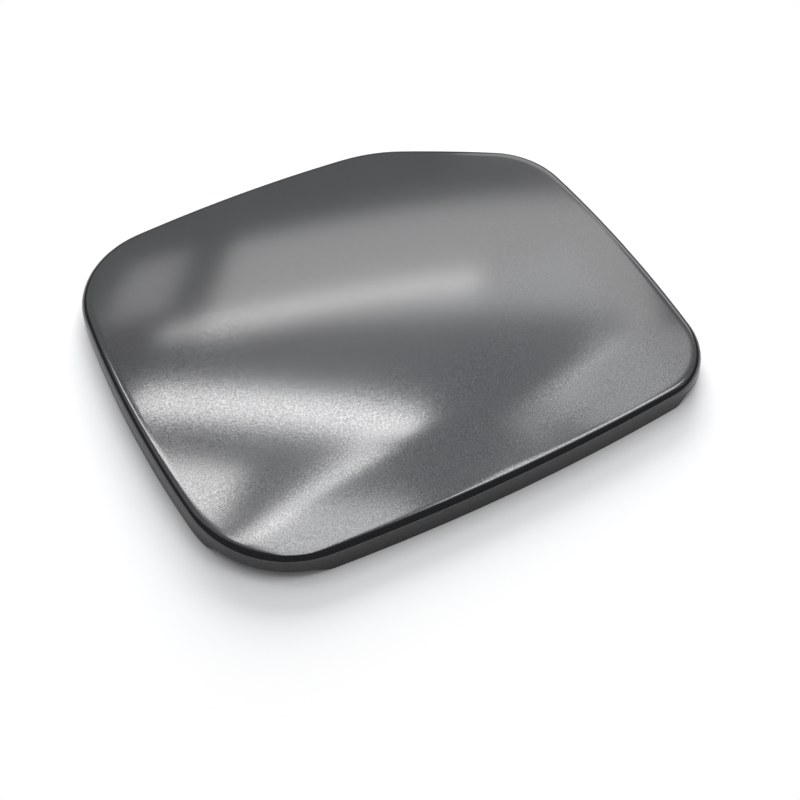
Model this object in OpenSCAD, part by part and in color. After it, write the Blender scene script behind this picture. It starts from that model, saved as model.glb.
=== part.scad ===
// Car fuel door: a pressed outer skin with a turned-down skirt, closed from
// behind by a pressed inner panel that carries the hinge nuts, the striker,
// the bump stops and the sealer pads. All lengths are in millimetres.
// The door lies face up on the lower edge of its skirt. +X runs along its
// long front side, +Y to its back side, +Z up through its painted face.

/* [Door] */
// Overall length, left side to right side
door_l = 200; // [185:1:215]
// Overall width, front side to back side
door_w = 165; // [155:1:175]
// Overall height, skirt edge to the top of the crown
door_h = 12; // [11:0.5:15]
// Sheet thickness of the outer skin
skin_t = 0.8; // [0.6:0.1:1]
// Outside radius of the pressed edge round the face
edge_r = 3.2; // [2.4:0.2:4]
// How far the skirt leans out from the edge radius to its lower edge
skirt_flare = 0.6; // [0:0.1:1]

/* [Outline] */
// Corner radius, front left
corner_front_left_r = 41; // [34:1:48]
// Corner radius, front right
corner_front_right_r = 25; // [20:1:32]
// Corner radius where the right side meets the cut corner
corner_cut_right_r = 34; // [28:1:42]
// Corner radius where the cut corner meets the back side
corner_cut_back_r = 65; // [50:1:75]
// Corner radius, back left
corner_back_left_r = 35; // [26:1:40]
// Radius of the bow of the front side
front_bow_r = 800; // [700:10:1200]
// Radius of the bow of the right side
right_bow_r = 510; // [450:10:700]
// Radius of the bow of the cut corner's flank
cut_bow_r = 640; // [500:10:900]
// Radius of the bow of the back side
back_bow_r = 530; // [450:10:700]
// Radius of the bow of the left side
left_bow_r = 445; // [400:5:600]
// How far to the right of the middle the front side reaches furthest forward
front_reach_x = 6; // [0:1:14]
// How far in front of the middle the right side reaches furthest out
right_reach_y = 38; // [28:1:40]
// How far to the left of the middle the back side reaches furthest back
back_reach_x = 26; // [18:1:34]
// How far behind the middle the left side reaches furthest out
left_reach_y = 24; // [10:1:26]
// Direction in which the cut corner's flank faces, from +X towards +Y
cut_dir = 59; // [57:0.5:62]
// Depth of the cut, measured in from the square corner
cut_depth = 34.5; // [31:0.5:36]

/* [Face] */
// Fall of the face from the middle to the left and right sides
crown_l_fall = 0.8; // [0.4:0.1:1.4]
// Fall of the face from the middle to the front and back sides
crown_w_fall = 1.7; // [0.8:0.1:2.2]
// Twist of the face: rise of its front left and back right corners
face_twist = 0.2; // [-0.3:0.1:0.4]
// Rise of the right side and fall of the left side, on top of the crown
right_lift = -0.4; // [-0.6:0.1:0.4]
// Rise of the back side and fall of the front side, on top of the crown
back_lift = -0.6; // [-0.8:0.1:0.4]
// Further rise of the right side's two ends and fall of the left side's
right_ends_lift = 0.6; // [-0.4:0.1:0.8]
// Further rise of the back side's two ends and fall of the front side's
back_ends_lift = 0.2; // [-0.4:0.1:0.4]
// Distance of the crease from the front side at mid length
crease_from_front = 29; // [26:1:40]
// How much nearer to the front side the crease starts at its left end
crease_dip = 14; // [8:1:18]
// Extra slope of the face in front of the crease, in thousandths
crease_slope = 43; // [0:1:50]
// Share of that slope which is reached at mid length
crease_share = 0.65; // [0.5:0.05:0.7]
// How much that share grows to the left side and fades to the right
crease_fade = 0.3; // [0:0.05:0.35]
// Half width over which the crease is rounded
crease_soft = 2; // [1.5:0.5:6]

/* [Corner reliefs] */
// Height by which the skirt is cut back at the first end of each corner
relief_high = 4.6; // [3:0.2:5]
// Height by which it is cut back at the other end
relief_low = 2.6; // [1.6:0.2:3]
// Share of a corner over which the cut runs in or out
relief_run = 0.2; // [0.15:0.01:0.3]

/* [Inner panel] */
// Sheet thickness of the inner panel
panel_t = 0.7; // [0.6:0.1:0.9]
// Height of the web's lower face above the skirt edge
web_z = 5; // [4.6:0.1:5.4]
// Gap between the panel's flange and the inside of the skirt
flange_gap = 0.15; // [0.1:0.05:0.3]
// How far the panel's flange stops short of the skirt edge
flange_recess = 1.2; // [0.8:0.1:1.6]
// Outside bend radius between web and flange
panel_bend_r = 1.8; // [1.4:0.1:2.2]
// Distance of the raised middle field from the left and right sides
field_margin = 44; // [42:1:48]
// Height of the raised middle field above the web
field_rise = 1.2; // [0.8:0.1:1.6]
// Width of the slope up to the middle field
field_slope_w = 2; // [1:0.5:3]
// Diameter of the lightening holes
lightening_d = 18; // [14:1:20]
// Distance of the outer lightening holes from the ends of the field
lightening_margin = 22; // [20:1:28]
// Depth of the plunged lip round a lightening hole
lip_h = 1.6; // [1:0.2:2]
// Distance of the beads' end centres from the ends of the field
bead_margin = 20; // [14:1:30]
// Half width of a stiffening bead at its foot
bead_r = 4; // [3:0.5:5]
// Height of a stiffening bead
bead_h = 1.2; // [0.8:0.1:1.5]
// Distance of the beads from the front and back edges of the field
bead_from_edge = 23; // [22:1:26]
// Diameter of the drain holes
drain_d = 6; // [4:0.5:8]

/* [Hinge mount] */
// Spacing of the two hinge bolts
hinge_pitch = 40; // [32:1:46]
// Distance of the hinge bolts from the left side
hinge_from_side = 30; // [27:1:32]
// Depth of the pressed mounting pads below the web
pad_drop = 2.8; // [2:0.1:3.2]
// Half width of the hinge pad's floor
hinge_pad_r = 11; // [10.5:0.1:12]
// Outward lean of a pad's wall
pad_lean = 1.6; // [1:0.1:2]
// Thickness of the hinge plate
hinge_plate_t = 1.2; // [1:0.1:1.6]
// Gap all round between the hinge plate and the pad's wall
plate_gap = 0.8; // [0.4:0.1:1.2]
// Diameter of the bolt clearance holes in the pad
bolt_clear_d = 6; // [5.5:0.1:6.4]
// Diameter of the hinge's locating hole between the bolts
locating_d = 8; // [6:0.5:10]
// Thread diameter of the weld nuts
nut_thread_d = 5; // [4:0.5:5]
// Size of the weld nuts across their flats
nut_af = 8; // [8:0.1:9]
// Height of the weld nuts
nut_h = 3.6; // [3:0.1:4]
// Diameter of the weld nut's pilot collar
pilot_d = 7; // [6.4:0.1:7.2]
// Length of the pilot collar
pilot_h = 0.7; // [0.4:0.1:0.9]
// Radial gap between the pilot collar and its hole
pilot_gap = 0.1; // [0.05:0.05:0.15]

/* [Striker] */
// Distance of the striker from the right side
striker_from_side = 24; // [22:1:27]
// Spacing of the striker's two rivets
striker_pitch = 28; // [27:1:30]
// Half width of the striker pad's floor
striker_pad_r = 9.5; // [9.2:0.1:10.5]
// Thickness of the striker plate
striker_t = 1.5; // [1.2:0.1:2]
// Length of the latch slot
latch_slot_l = 13; // [11:0.5:14]
// Width of the latch slot
latch_slot_w = 7; // [6:0.5:8]
// How much larger than the slot the window behind it is, all round
window_margin = 2; // [1:0.5:2.5]
// Diameter of the rivet shanks
rivet_d = 4; // [3:0.2:4.2]
// Radial gap between a rivet shank and its hole
rivet_gap = 0.05; // [0.03:0.01:0.1]
// Diameter of the rivet heads
rivet_head_d = 7; // [6:0.2:7.6]
// Height of the rivet heads
rivet_head_h = 1.3; // [1:0.1:1.6]

/* [Bump stops] */
// Diameter of a bump stop's head
stop_d = 11; // [9:0.5:13]
// How far a bump stop's face stays above the skirt edge
stop_recess = 0.8; // [0.4:0.1:1.2]
// Diameter of its neck, in the web
stop_neck_d = 6; // [5:0.5:7]
// Radial gap between the neck and its hole
stop_gap = 0.1; // [0.05:0.05:0.2]
// Length of its barb, above the web
stop_barb_h = 3; // [2.4:0.1:3.2]
// How much the barb is wider than the neck
stop_barb_grip = 1.8; // [1:0.2:2.4]
// Distance of a bump stop from the outline, measured towards the middle
stop_margin = 23; // [20:1:26]

/* [Sealer] */
// Diameter of a sealer pad where it lies on the web
pad_d = 15; // [12:1:18]
// Diameter of a sealer pad against the skin
pad_top_d = 11; // [9:1:12]
// Gap between a sealer pad and the skin
pad_gap = 0.1; // [0.05:0.05:0.2]

/* [Hidden] */

full_turn = 360;
quarter_turn = full_turn / 4;
half_turn = full_turn / 2;
// Unit of the crease's slope
thousandth = 0.001;
// Overshoot of a cutting tool past the faces it cuts
eps = 0.5;
// Smoothness of the round features
$fn = 48;
// Largest turn between two spokes round a corner, in degrees
corner_step = 9;
// Largest distance between two spokes along a side
side_step = 9;
// Number of rings on the face, on its underside and round the edge
face_rings = 14;
under_rings = 9;
edge_steps = 5;
under_edge_steps = 3;
bend_steps = 3;
// Number of sides of a sealer pad and of a weld nut
pad_sides = 20;
nut_sides = 6;

skin_color = [0.2, 0.2, 0.21];
panel_color = [0.13, 0.13, 0.14];
zinc_color = [0.72, 0.7, 0.62];
steel_color = [0.55, 0.56, 0.58];
rubber_color = [0.06, 0.06, 0.06];
sealer_color = [0.62, 0.58, 0.48];

// Outline

function dir(a) = [cos(a), sin(a)];
function heading(v) = atan2(v[1], v[0]);
function turn_to(a, b) = a + ((b - a) % full_turn + full_turn) % full_turn;

// The five sides are arcs of large circles, in order round the door: each
// is [centre, radius], touching its own edge of the door's rectangle
half = [door_l / 2, door_w / 2];
cut_foot = half - cut_depth * dir(cut_dir);
sides = [
    [[front_reach_x, front_bow_r - half[1]], front_bow_r],
    [[half[0] - right_bow_r, -right_reach_y], right_bow_r],
    [cut_foot - cut_bow_r * dir(cut_dir), cut_bow_r],
    [[-back_reach_x, half[1] - back_bow_r], back_bow_r],
    [[left_bow_r - half[0], left_reach_y], left_bow_r]
];
corner_radii = [
    corner_front_right_r, corner_cut_right_r, corner_cut_back_r,
    corner_back_left_r, corner_front_left_r
];
// The blunt corner behind the cut turns too little to need a relief
relieved = [true, true, false, true, true];

// Centre of the circle of radius r that touches sides a and b from inside
function corner_centre(a, b, r) =
    let (
        across = b[0] - a[0],
        d = norm(across),
        ra = a[1] - r,
        rb = b[1] - r,
        along = (ra * ra - rb * rb + d * d) / (2 * d),
        off = sqrt(ra * ra - along * along),
        e = across / d
    )
    a[0] + along * e + off * [-e[1], e[0]];

corners = [
    for (i = [0:4])
        [corner_centre(sides[i], sides[(i + 1) % 5], corner_radii[i]), corner_radii[i]]
];

// Direction in which the outline faces where side s runs into corner c
function joint_dir(s, c) = heading(c[0] - s[0]);

// Share of the corner relief at a share f of the way round a corner
function relief_at(f) =
    let (ramp = min(1, f / relief_run, (1 - f) / relief_run))
    ramp * ramp * (3 - 2 * ramp) * (relief_high + (relief_low - relief_high) * f);

// Spokes along one arc: each is [centre, radius, direction, relief]
function arc_spokes(c, r, a0, a1, n, cut_back) = [
    for (j = [0:n - 1])
        [c, r, a0 + (a1 - a0) * j / n, cut_back ? relief_at(j / n) : 0]
];

function side_spokes(i) =
    let (
        s = sides[i],
        a0 = joint_dir(s, corners[(i + 4) % 5]),
        a1 = turn_to(a0, joint_dir(s, corners[i])),
        n = ceil(s[1] * (a1 - a0) * PI / half_turn / side_step)
    )
    arc_spokes(s[0], s[1], a0, a1, n, false);

function corner_spokes(i) =
    let (
        c = corners[i],
        a0 = joint_dir(sides[i], c),
        a1 = turn_to(a0, joint_dir(sides[(i + 1) % 5], c)),
        n = ceil((a1 - a0) / corner_step)
    )
    arc_spokes(c[0], c[1], a0, a1, n, relieved[i]);

spokes = [for (i = [0:4]) each concat(side_spokes(i), corner_spokes(i))];

// Point of a spoke, moved in from the outline
function inside(s, inset) = s[0] + (s[1] - inset) * dir(s[2]);

// Point of the outline at a share f of the way along an arc's spokes
function along(arc, f) = inside(arc[round(f * (len(arc) - 1))], 0);
// A point of the outline, brought d nearer to the middle of the door
function nearer(p, d) = p * (1 - d / norm(p));

// Face

function soft_ramp(x, w) = w * ln(1 + exp(x / w));
function crease_y(x) =
    let (left = max(0, -x / half[0]))
    crease_from_front - half[1] - crease_dip * left * left;
function crease_fall(x, y) =
    crease_slope * thousandth * soft_ramp(crease_y(x) - y, crease_soft)
        * (crease_share - crease_fade * x / half[0]);

// Fall of the crown, and rise by the warp left in the face by the press, at
// shares u and v of the way from the middle to the right and back sides
function crown(u, v) = crown_l_fall * u * u + crown_w_fall * v * v;
function warp(u, v) =
    face_twist * u * v + right_lift * u * u * u + back_lift * v * v * v
        + right_ends_lift * u * v * v + back_ends_lift * u * u * v;

// Height of the painted face over a point of the plan
function face_z(p) =
    let (u = p[0] / half[0], v = p[1] / half[1])
    door_h - crown(u, v) + warp(u, v) - crease_fall(p[0], p[1]);

// Closed solid from rings of points, from a pole on top to a pole below
module ring_solid(top, rings, bottom) {
    n = len(rings[0]);
    last = len(rings) - 1;
    pole = 1 + n * len(rings);
    polyhedron(
        points = concat([top], [for (r = rings) each r], [bottom]),
        faces = [
            for (j = [0:n - 1])
                let (k = (j + 1) % n)
                each concat(
                    [[0, 1 + k, 1 + j]],
                    [
                        for (i = [0:1:last - 1])
                            let (a = 1 + n * i, b = a + n)
                            each [[a + j, a + k, b + k], [a + j, b + k, b + j]]
                    ],
                    [[1 + n * last + j, 1 + n * last + k, pole]]
                )
        ]
    );
}

// Outer skin

function lift(p, z) = [p[0], p[1], z];
// Inset of the skin's outside where the edge radius has turned by t degrees
function edge_inset(t, r) = skirt_flare + edge_r - r * sin(t);
function edge_ring(t, r) = [
    for (s = spokes)
        let (p = inside(s, edge_inset(t, r)))
        lift(p, face_z(p) - edge_r + r * cos(t))
];
// Ring of the face at a share f of the way out to the edge radius
function face_ring(f, drop) = [
    for (s = spokes)
        let (p = f * inside(s, edge_inset(0, edge_r)))
        lift(p, face_z(p) - drop)
];

module outer_skin() {
    inner_r = edge_r - skin_t;
    rings = concat(
        [for (i = [1:face_rings]) face_ring(i / face_rings, 0)],
        [for (i = [1:edge_steps]) edge_ring(quarter_turn * i / edge_steps, edge_r)],
        [[for (s = spokes) lift(inside(s, 0), s[3])]],
        [[for (s = spokes) lift(inside(s, skin_t), s[3])]],
        [
            for (i = [under_edge_steps:-1:1])
                edge_ring(quarter_turn * i / under_edge_steps, inner_r)
        ],
        [for (i = [under_rings:-1:1]) face_ring(i / under_rings, skin_t)]
    );
    centre = face_z([0, 0]);
    color(skin_color)
        ring_solid([0, 0, centre], rings, [0, 0, centre - skin_t]);
}

// Inner panel

web_top = web_z + panel_t;
field_top = web_top + field_rise;
floor_z = web_z - pad_drop;
floor_top = floor_z + panel_t;
hinge_x = hinge_from_side - half[0];

// The middle field is a smaller copy of the outline. The ring of web round
// it carries the sealer pads and the drain holes half way across
field_share = 1 - field_margin / half[0];
field_half = field_share * half;
ring_share = (1 + field_share) / 2;
lightening_pitch = field_half[0] - lightening_margin;
bead_l = 2 * (field_half[0] - bead_margin);
bead_y = field_half[1] - bead_from_edge;
drain_places = [for (i = [2, 3, 4]) ring_share * along(corner_spokes(i), 0.5)];

// The bump stops lie inside the two corners of the right side, and the
// striker half way between them
stop_places = [for (i = [0, 1]) nearer(along(corner_spokes(i), 0.5), stop_margin)];
striker_x = half[0] - striker_from_side;
striker_y = (stop_places[0][1] + stop_places[1][1]) / 2;

// Height at which the skirt's straight wall ends under the edge radius
function wall_top(s) = face_z(inside(s, edge_inset(0, edge_r))) - edge_r;
// Inset of the skirt's inner wall at height z
function wall_inset(s, z) = skin_t + skirt_flare * max(0, z) / wall_top(s);

// Ring of the panel's flange, t sheet thicknesses in from its outside
function flange_ring(t, z_fixed, above_relief) = [
    for (s = spokes)
        let (z = z_fixed + (above_relief ? s[3] : 0))
        lift(inside(s, flange_gap + wall_inset(s, z) + t), z)
];
// Ring round the bend between flange and web, of radius r, turned by a
function panel_bend_ring(a, r) = [
    for (s = spokes)
        let (z = web_top - panel_bend_r + r * cos(a))
        lift(inside(s, flange_gap + wall_inset(s, web_top - panel_bend_r)
            + panel_bend_r - r * sin(a)), z)
];
// Ring on the outline of the middle field, w inside its foot
function field_ring(w, z) = [
    for (s = spokes) lift((field_share - w / half[1]) * inside(s, 0), z)
];

module panel_tray() {
    inner_r = panel_bend_r - panel_t;
    rings = concat(
        [field_ring(field_slope_w, field_top)],
        [field_ring(0, web_top)],
        [for (i = [0:bend_steps]) panel_bend_ring(quarter_turn * i / bend_steps, panel_bend_r)],
        [flange_ring(0, flange_recess, true)],
        [flange_ring(panel_t, flange_recess, true)],
        [for (i = [bend_steps:-1:0]) panel_bend_ring(quarter_turn * i / bend_steps, inner_r)],
        [field_ring(0, web_z)],
        [field_ring(field_slope_w, field_top - panel_t)]
    );
    ring_solid([0, 0, field_top], rings, [0, 0, field_top - panel_t]);
}

// Round-ended flat shape along Y, between two end centres
module slot(l, r) {
    for (y = [-l / 2, l / 2]) translate([0, y]) circle(r);
    square([2 * r, l], center = true);
}

// Round-ended block along Y whose walls lean from r1 below to r2 above
module slot_cone(l, r1, r2, h) {
    for (y = [-l / 2, l / 2]) translate([0, y, 0]) cylinder(h = h, r1 = r1, r2 = r2);
    rotate([quarter_turn, 0, 0])
        linear_extrude(l, center = true)
            polygon([[-r1, 0], [r1, 0], [r2, h], [-r2, h]]);
}

// Outside of a pressed pad that hangs below the web
module pad_outside(l, r) {
    translate([0, 0, floor_z])
        slot_cone(l, r, r + pad_lean * (pad_drop + panel_t / 2) / pad_drop,
            pad_drop + panel_t / 2);
}

// Space inside it, open at the top
module pad_inside(l, r) {
    lean = pad_lean / pad_drop;
    h = pad_drop + panel_t;
    translate([0, 0, floor_top])
        slot_cone(l, r - panel_t, r - panel_t + lean * h, h);
}

module bead_outside() {
    top_r = bead_r - bead_h;
    translate([0, 0, field_top - panel_t / 2])
        rotate(quarter_turn) slot_cone(bead_l, bead_r, top_r, bead_h + panel_t / 2);
}

module bead_inside() {
    low_r = bead_r - panel_t;
    h = bead_h + panel_t;
    translate([0, 0, field_top - 2 * panel_t])
        rotate(quarter_turn) slot_cone(bead_l, low_r, low_r - bead_h, h);
}

module at_bolts() {
    for (y = [-hinge_pitch / 2, hinge_pitch / 2]) translate([hinge_x, y, 0]) children();
}

module at_rivets() {
    for (y = [-striker_pitch / 2, striker_pitch / 2])
        translate([striker_x, striker_y + y, 0]) children();
}

module at_stops() {
    for (c = stop_places) translate(c) children();
}

module at_lightening_holes() {
    for (i = [-1:1]) translate([i * lightening_pitch, 0, 0]) children();
}

// Upright tool that cuts through the whole panel
module through(r) {
    translate([0, 0, -eps]) cylinder(h = door_h, r = r);
}

module inner_panel() {
    color(panel_color)
        difference() {
            union() {
                panel_tray();
                translate([hinge_x, 0, 0]) pad_outside(hinge_pitch, hinge_pad_r);
                translate([striker_x, striker_y, 0]) pad_outside(striker_pitch, striker_pad_r);
                for (y = [-bead_y, bead_y]) translate([0, y, 0]) bead_outside();
                at_lightening_holes()
                    translate([0, 0, field_top - panel_t - lip_h])
                        cylinder(h = lip_h + panel_t / 2, r = lightening_d / 2 + panel_t);
            }
            translate([hinge_x, 0, 0]) pad_inside(hinge_pitch, hinge_pad_r);
            translate([striker_x, striker_y, 0]) pad_inside(striker_pitch, striker_pad_r);
            for (y = [-bead_y, bead_y]) translate([0, y, 0]) bead_inside();
            at_lightening_holes() through(lightening_d / 2);
            at_bolts() through(bolt_clear_d / 2);
            translate([hinge_x, 0, 0]) through(locating_d / 2);
            at_rivets() through(rivet_d / 2 + rivet_gap);
            at_stops() through(stop_neck_d / 2 + stop_gap);
            translate([striker_x, striker_y, -eps])
                linear_extrude(door_h)
                    slot(latch_slot_l - latch_slot_w, latch_slot_w / 2 + window_margin);
            for (p = drain_places) translate(p) through(drain_d / 2);
        }
}

// Hinge mount

plate_top = floor_top + hinge_plate_t;

module hinge_plate() {
    plate_r = hinge_pad_r - panel_t - plate_gap;
    color(steel_color)
        difference() {
            translate([hinge_x, 0, floor_top])
                linear_extrude(hinge_plate_t) slot(hinge_pitch, plate_r);
            at_bolts() through(pilot_d / 2 + pilot_gap);
            translate([hinge_x, 0, 0]) through(locating_d / 2);
        }
}

// Hexagon weld nut on its pilot collar, its seat at height 0
module weld_nut() {
    corner_r = nut_af / 2 / cos(half_turn / nut_sides);
    chamfer = corner_r - nut_af / 2;
    color(zinc_color)
        difference() {
            union() {
                intersection() {
                    cylinder(h = nut_h, r = corner_r, $fn = nut_sides);
                    union() {
                        cylinder(h = nut_h - chamfer, r = corner_r + eps);
                        translate([0, 0, nut_h - chamfer])
                            cylinder(h = chamfer, r1 = corner_r, r2 = corner_r - chamfer);
                    }
                }
                translate([0, 0, -pilot_h]) cylinder(h = pilot_h + nut_h / 2, r = pilot_d / 2);
            }
            translate([0, 0, -pilot_h - eps])
                cylinder(h = pilot_h + nut_h + 2 * eps, r = nut_thread_d / 2);
        }
}

module weld_nut_front() { translate([hinge_x, -hinge_pitch / 2, plate_top]) weld_nut(); }
module weld_nut_rear() { translate([hinge_x, hinge_pitch / 2, plate_top]) weld_nut(); }

// Striker

module striker_plate() {
    plate_r = striker_pad_r - panel_t - plate_gap;
    color(steel_color)
        difference() {
            translate([striker_x, striker_y, floor_top])
                linear_extrude(striker_t) slot(striker_pitch, plate_r);
            translate([striker_x, striker_y, 0])
                linear_extrude(door_h) slot(latch_slot_l - latch_slot_w, latch_slot_w / 2);
            at_rivets() through(rivet_d / 2 + rivet_gap);
        }
}

// Domed head: a spherical cap of height h on a disc of diameter d
module dome(d, h) {
    cap_r = (d * d / 4 + h * h) / (2 * h);
    intersection() {
        translate([0, 0, h - cap_r]) sphere(cap_r);
        cylinder(h = h, r = d / 2);
    }
}

// Rivet through the pad's floor and the striker plate, with a formed tail
module striker_rivet() {
    grip = panel_t + striker_t;
    color(zinc_color)
        union() {
            translate([0, 0, floor_z]) mirror([0, 0, 1]) dome(rivet_head_d, rivet_head_h);
            translate([0, 0, floor_z - rivet_head_h / 2])
                cylinder(h = grip + rivet_head_h, r = rivet_d / 2);
            translate([0, 0, floor_z + grip]) dome(rivet_head_d, rivet_head_h);
        }
}

module striker_rivet_front() {
    translate([striker_x, striker_y - striker_pitch / 2, 0]) striker_rivet();
}
module striker_rivet_rear() {
    translate([striker_x, striker_y + striker_pitch / 2, 0]) striker_rivet();
}

// Bump stops

module bump_stop() {
    head_r = stop_d / 2;
    neck_r = stop_neck_d / 2;
    barb_r = neck_r + stop_barb_grip / 2;
    rim = head_r / 5;
    color(rubber_color)
        rotate_extrude()
            polygon([
                [0, stop_recess], [head_r - rim, stop_recess], [head_r, stop_recess + rim],
                [head_r, web_z], [neck_r, web_z], [neck_r, web_top],
                [barb_r, web_top], [barb_r, web_top + stop_barb_h / 4],
                [neck_r / 2, web_top + stop_barb_h], [0, web_top + stop_barb_h]
            ]);
}

module bump_stop_front() { translate(stop_places[0]) bump_stop(); }
module bump_stop_rear() { translate(stop_places[1]) bump_stop(); }

// Sealer pads

// Three along the front side, one behind the cut corner, two along the back
pad_places = ring_share * [
    for (f = [0.1, 0.5, 0.9]) along(side_spokes(0), f),
    along(side_spokes(2), 0.5),
    for (f = [0.2, 0.9]) along(side_spokes(3), f)
];

// Dab of sealer squeezed between the web and the underside of the skin
module sealer_pad(place) {
    function pad_point(r, j) = place + r * dir(full_turn * j / pad_sides);
    under = skin_t + pad_gap;
    foot = [for (j = [0:pad_sides - 1]) lift(pad_point(pad_d / 2, j), web_top)];
    waist = [
        for (j = [0:pad_sides - 1])
            let (p = pad_point((pad_d + pad_top_d) / 4, j))
            lift(p, (web_top + face_z(p) - under) / 2)
    ];
    head = [
        for (j = [0:pad_sides - 1])
            let (p = pad_point(pad_top_d / 2, j))
            lift(p, face_z(p) - under)
    ];
    color(sealer_color)
        ring_solid(lift(place, face_z(place) - under), [head, waist, foot], lift(place, web_top));
}

outer_skin();
inner_panel();
hinge_plate();
weld_nut_front();
weld_nut_rear();
striker_plate();
striker_rivet_front();
striker_rivet_rear();
bump_stop_front();
bump_stop_rear();
sealer_pad(pad_places[0]);  // sealer_pad_1
sealer_pad(pad_places[1]);  // sealer_pad_2
sealer_pad(pad_places[2]);  // sealer_pad_3
sealer_pad(pad_places[3]);  // sealer_pad_4
sealer_pad(pad_places[4]);  // sealer_pad_5
sealer_pad(pad_places[5]);  // sealer_pad_6
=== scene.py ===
# %% [markdown]
# # A car's fuel door in satin black primer
# The object is a pressed steel door with a soft crown, a skirt turned down
# all round and one corner cut off. Behind it sits an inner panel with the
# hinge nuts, the striker, two bump stops and dabs of sealer. The CAD model is
# loaded first, as a fixed frame. Each piece made here has the size and the
# place of one of its solids, and the finer form that the eye follows.

# %% Load the frame
import math
from collections import namedtuple

import bmesh
import bpy
import numpy as np
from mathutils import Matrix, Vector


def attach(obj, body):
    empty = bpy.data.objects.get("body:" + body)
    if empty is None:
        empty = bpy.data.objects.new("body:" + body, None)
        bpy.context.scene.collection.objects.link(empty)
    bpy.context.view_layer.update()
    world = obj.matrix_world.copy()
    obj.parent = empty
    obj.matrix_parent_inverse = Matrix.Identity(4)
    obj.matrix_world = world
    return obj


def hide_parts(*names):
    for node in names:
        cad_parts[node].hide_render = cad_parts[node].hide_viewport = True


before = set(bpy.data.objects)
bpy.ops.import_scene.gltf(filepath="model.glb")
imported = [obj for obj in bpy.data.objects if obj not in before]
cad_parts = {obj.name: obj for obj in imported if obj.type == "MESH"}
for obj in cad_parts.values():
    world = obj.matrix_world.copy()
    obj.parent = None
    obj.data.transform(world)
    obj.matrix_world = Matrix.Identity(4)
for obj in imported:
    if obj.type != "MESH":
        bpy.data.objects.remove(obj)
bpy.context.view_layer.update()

print("nodes:", ", ".join(sorted(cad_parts)))

# %% [markdown]
# ## The door's outline
# Seen from above, the door has five gently bowed sides and five round
# corners. Each side is an arc of a very large circle, and each corner a
# small circle that touches its two sides. Drawing such an outline by eye
# gives flat spots, which black paint shows at once, so it is worked out here
# from the radii, as the CAD does, only with shorter steps.

# %% Five bowed sides and five corners
MM = 0.001
HALF = np.array([100.0, 82.5])
# How far the cut side stands back from its corner, and the way it faces
CUT_DEPTH, CUT_DIR = 34.5, math.radians(59)


def heading(angle):
    return np.array([math.cos(angle), math.sin(angle)])


cut_foot = HALF - CUT_DEPTH * heading(CUT_DIR)
# Centre and radius of each side: front, right, cut corner, back, left
SIDES = [
    (np.array([6, 800 - HALF[1]]), 800),
    (np.array([HALF[0] - 510, -38]), 510),
    (cut_foot - 640 * heading(CUT_DIR), 640),
    (np.array([-26, HALF[1] - 530]), 530),
    (np.array([445 - HALF[0], 24]), 445),
]
# Radius of the corner after each side, and the share of its turn at which the
# skirt's cut starts
CORNERS = [(25, 0.04), (34, 0), (65, None), (35, 0), (41, 0.14)]
print("the cut side passes through", cut_foot.round(1), "mm")

# %% Where each corner's circle sits
def corner_centre(a, b, r):
    """Centre of a circle that touches sides a and b from within."""
    across = b[0] - a[0]
    d = np.linalg.norm(across)
    ra, rb = a[1] - r, b[1] - r
    along = (ra * ra - rb * rb + d * d) / (2 * d)
    e = across / d
    off = math.sqrt(ra * ra - along * along)
    return a[0] + along * e + off * np.array([-e[1], e[0]])


centres = [corner_centre(SIDES[i], SIDES[(i + 1) % 5], CORNERS[i][0])
           for i in range(5)]
print("corner centres:", [c.round(1).tolist() for c in centres])

# %% [markdown]
# The skirt is cut back a little at four corners, where the sheet would
# otherwise crumple as it is turned down. The cut starts deep and gets
# shallower on its way round the corner. So each step along the outline is
# kept as a spoke: centre, radius, direction and the height of the cut there.

# %% The cut at a corner
# Height of the cut where the corner begins, and what it loses by the end
CUT_HIGH, CUT_LOSS = 4.6, 2
# Shares of the corner's turn over which the cut rises and runs out
CUT_RISE, CUT_END = 0.12, 0.16


def smooth(share):
    """A soft step from 0 to 1."""
    share = min(1.0, max(0.0, share))
    return share * share * (3 - 2 * share)


def relief(share, begin):
    if begin is None:
        return 0
    step = smooth(min((share - begin) / CUT_RISE, (1 - share) / CUT_END))
    return step * (CUT_HIGH - CUT_LOSS * share)


print("cut at the front right corner:",
      [round(relief(share / 4, CORNERS[0][1]), 2) for share in range(5)], "mm")

# %% Spokes all round the door
Spoke = namedtuple("Spoke", "centre radius angle cut")


def arc(centre, radius, start, end, step, cut_from=None):
    n = math.ceil((end - start) / step)
    return [
        Spoke(centre, radius, start + (end - start) * j / n, relief(j / n, cut_from))
        for j in range(n)
    ]


def facing(a, b):
    return math.atan2(b[1] - a[1], b[0] - a[0])


def all_spokes(side_step, corner_step):
    spokes = []
    for i, (centre, radius) in enumerate(SIDES):
        after, before = centres[i], centres[i - 1]
        start = facing(centre, before)
        sweep = (facing(centre, after) - start) % math.tau
        spokes += arc(centre, radius, start, start + sweep, side_step / radius)
        start += sweep
        following = SIDES[(i + 1) % 5][0]
        sweep = (facing(following, after) - start) % math.tau
        r, cut_from = CORNERS[i]
        spokes += arc(after, r, start, start + sweep, corner_step, cut_from)
    return spokes


SIDE_STEP, CORNER_STEP = 2.0, math.radians(2.5)
SPOKES = all_spokes(SIDE_STEP, CORNER_STEP)
print(len(SPOKES), "spokes")

# %% [markdown]
# ## The painted face
# The face is crowned: it falls by one or two millimetres to each side. Near
# the front a crease runs across it, crisp on the left and fading out to the
# right. A faint twist and warp are left in it by the press, and they bend
# everything the paint mirrors. Such small heights are hard to model by hand
# and easy to write as a formula, which also keeps the reflections smooth.

# %% Height of the face
TOP, CROWN_X, CROWN_Y = 12.0, 0.8, 1.7
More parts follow.
